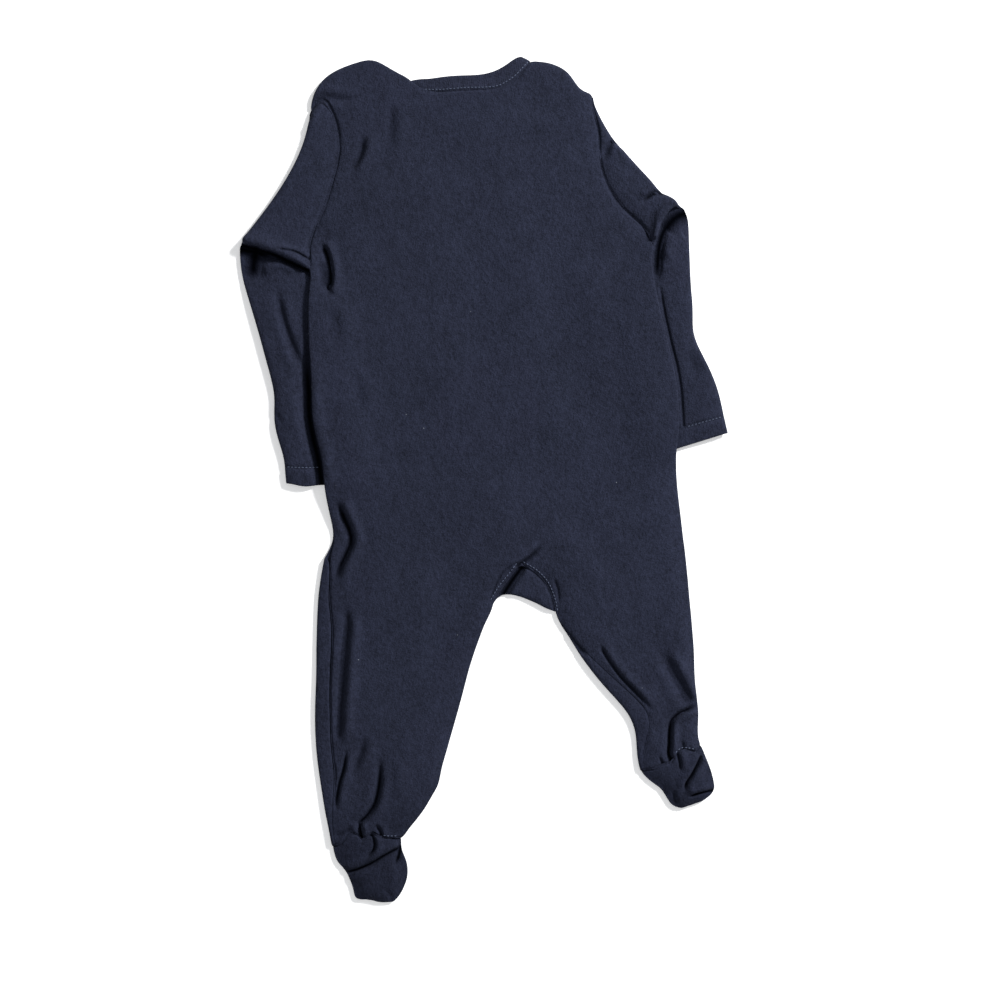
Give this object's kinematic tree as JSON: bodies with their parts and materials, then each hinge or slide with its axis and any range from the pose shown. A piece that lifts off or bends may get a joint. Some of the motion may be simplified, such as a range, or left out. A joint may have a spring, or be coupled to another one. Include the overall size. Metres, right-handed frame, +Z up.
{
  "type": "onesie pajama",
  "caption": "Footed one-piece sleeper for a small child, laid flat face down: long sleeves bent down along the body, two legs with closed feet, rib neckband, crotch gusset.",
  "frame": {"origin": "Middle of the bounding box, at the level of the surface the garment lies on.", "axes": "X to the right of the garment seen from above, Y from the feet to the neck, Z up out of the back."},
  "size_m": [0.3473, 0.6338, 0.0083],
  "materials": {
    "navy_fleece_knit": "matte, slightly brushed cotton knit, dark navy",
    "navy_rib_knit": "matte rib knit, dark navy",
    "snap_enamel": "enamelled press snap cap, dull navy"
  },
  "bodies": {
    "root": {"back": "navy_fleece_knit", "front_left": "navy_fleece_knit", "front_right": "navy_fleece_knit", "gusset": "navy_fleece_knit", "sleeve_left": "navy_fleece_knit", "sleeve_right": "navy_fleece_knit", "neckband": "navy_rib_knit", "foot_left_sole": "navy_fleece_knit", "foot_left_upper": "navy_fleece_knit", "foot_right_sole": "navy_fleece_knit", "foot_right_upper": "navy_fleece_knit", "snap_1": "snap_enamel", "snap_2": "snap_enamel", "snap_3": "snap_enamel", "snap_4": "snap_enamel", "snap_5": "snap_enamel", "snap_6": "snap_enamel", "snap_7": "snap_enamel"}
  },
  "joints": []
}
